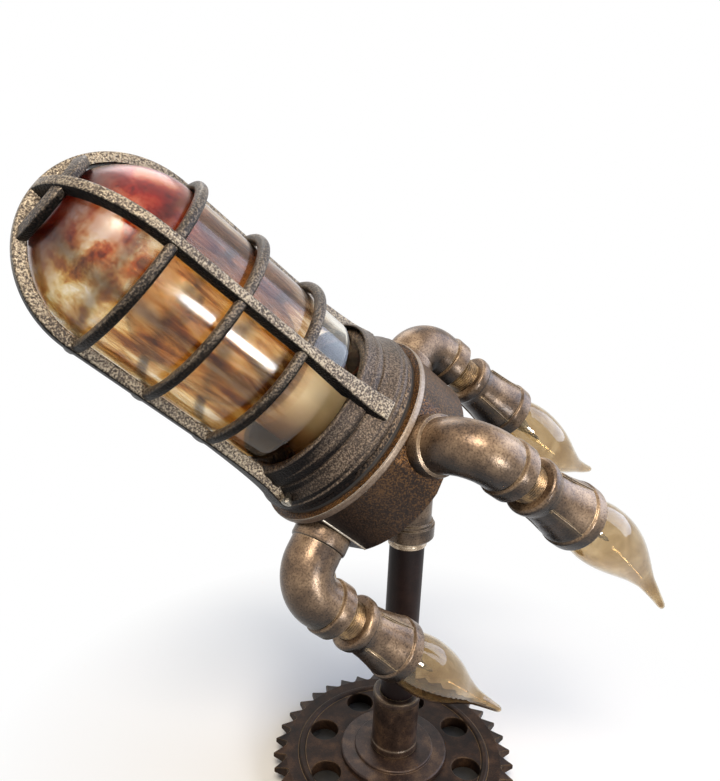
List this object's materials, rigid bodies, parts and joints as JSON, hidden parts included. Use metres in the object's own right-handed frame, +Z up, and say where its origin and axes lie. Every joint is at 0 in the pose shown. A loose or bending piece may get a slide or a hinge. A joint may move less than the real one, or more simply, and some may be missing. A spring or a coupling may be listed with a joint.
{
  "type": "rocket table lamp",
  "caption": "Table lamp built from pipe fittings: a caged glass lamp tilted like a rocket on a pole, flame bulbs on side elbows as its thrusters, and a toothed sprocket as its foot.",
  "frame": {"origin": "on the table, on the pole's axis under the middle of the sprocket", "axes": "+Z up along the pole; the rocket's nose points to -X and up, and its thrusters to +X and down; -Y is the side nearest the picture's camera"},
  "size_m": [0.361, 0.1718, 0.3839],
  "materials": {
    "rubber_foot": "matt black rubber",
    "sprocket": "dark brown bronze over steel",
    "hub": "dark brown bronze over steel",
    "nut": "plain steel",
    "grommet": "matt black rubber",
    "coupling": "brown patina rubbed bright at its edges",
    "pole": "satin brown black over steel",
    "ring": "bright turned ring",
    "fitting": "rubbed antique bronze over malleable iron",
    "lead": "dark grey sleeve",
    "box": "bronze hammered paint on cast aluminium",
    "block": "pale moulded plastic",
    "plate": "cream enamel",
    "gasket": "black rubber",
    "holder": "dark bronze paint on cast aluminium",
    "screw": "bright steel",
    "globe_seal": "red silicone",
    "porcelain": "cream glaze",
    "brass": "plain brass",
    "cap": "brass coloured aluminium",
    "amber_glass": "clear amber",
    "stem": "grey glass and wire",
    "globe_glass": "clear",
    "guard": "bronze hammered paint on cast aluminium, worn pale on its edges",
    "socket": "dark moulded plastic",
    "flame_glass": "clear with a slight amber tint"
  },
  "bodies": {
    "base": {"foot_pads": "rubber_foot", "sprocket_base": "sprocket", "base_hub": "hub", "base_nipple": "nut", "base_locknut": "nut", "cord_grommet": "grommet", "base_coupling": "coupling"},
    "stand": {"pole": "pole", "pole_ring": "ring", "stand_elbow": "fitting", "stand_nipple": "nut", "supply_lead": "lead", "junction_box": "box", "hub_plug": "fitting", "terminal_block": "block", "lampholder_plate": "plate", "box_gasket": "gasket", "globe_holder": "holder", "holder_screws": "screw", "globe_gasket": "globe_seal", "lampholder": "porcelain", "lampholder_shell": "brass", "lampholder_contact": "brass", "elbow_1": "fitting", "nipple_1": "nut", "reducer_1": "fitting", "lead_1": "lead", "candle_socket_1": "socket", "candle_shell_1": "brass", "elbow_2": "fitting", "nipple_2": "nut", "reducer_2": "fitting", "lead_2": "lead", "candle_socket_2": "socket", "candle_shell_2": "brass", "elbow_3": "fitting", "nipple_3": "nut", "reducer_3": "fitting", "lead_3": "lead", "candle_socket_3": "socket", "candle_shell_3": "brass"},
    "guard": {"guard_cage": "guard"},
    "guard_screw": {"guard_set_screw": "screw"},
    "globe": {"globe": "globe_glass"},
    "main_bulb": {"main_bulb_glass": "amber_glass", "main_bulb_base": "cap", "main_bulb_stem": "stem"},
    "flame_bulb_1": {"flame_glass_1": "flame_glass", "flame_base_1": "cap", "flame_stem_1": "stem"},
    "flame_bulb_2": {"flame_glass_2": "flame_glass", "flame_base_2": "cap", "flame_stem_2": "stem"},
    "flame_bulb_3": {"flame_glass_3": "flame_glass", "flame_base_3": "cap", "flame_stem_3": "stem"}
  },
  "joints": [
    {"name": "stand_swivel", "type": "hinge", "parent": "base", "child": "stand", "pos_m": [0, 0, 0.0418], "axis": [0, 0, 1], "range_deg": [-180, 180]},
    {"name": "guard_turn", "type": "hinge", "parent": "stand", "child": "guard", "pos_m": [-0.04673, 0, 0.24521], "axis": [-0.766, 0, 0.6428], "range_deg": [0, 810]},
    {"name": "guard_screw_turn", "type": "hinge", "parent": "guard", "child": "guard_screw", "pos_m": [-0.08577, -0.03126, 0.21969], "axis": [-0.5265, -0.5736, -0.6275], "range_deg": [0, 1980]},
    {"name": "globe_turn", "type": "hinge", "parent": "stand", "child": "globe", "pos_m": [-0.04673, 0, 0.24521], "axis": [-0.766, 0, 0.6428], "range_deg": [0, 540]},
    {"name": "main_bulb_turn", "type": "hinge", "parent": "stand", "child": "main_bulb", "pos_m": [-0.04673, 0, 0.24521], "axis": [-0.766, 0, 0.6428], "range_deg": [0, 1260]},
    {"name": "flame_bulb_1_turn", "type": "hinge", "parent": "stand", "child": "flame_bulb_1", "pos_m": [0.07745, 0.02495, 0.23654], "axis": [0.7859, -0.0796, -0.6132], "range_deg": [0, 1620]},
    {"name": "flame_bulb_2_turn", "type": "hinge", "parent": "stand", "child": "flame_bulb_2", "pos_m": [0.05673, -0.07482, 0.21185], "axis": [0.8143, 0.0354, -0.5793], "range_deg": [0, 1620]},
    {"name": "flame_bulb_3_turn", "type": "hinge", "parent": "stand", "child": "flame_bulb_3", "pos_m": [-0.02033, -0.03222, 0.11962], "axis": [0.7565, 0.0319, -0.6533], "range_deg": [0, 1620]}
  ]
}
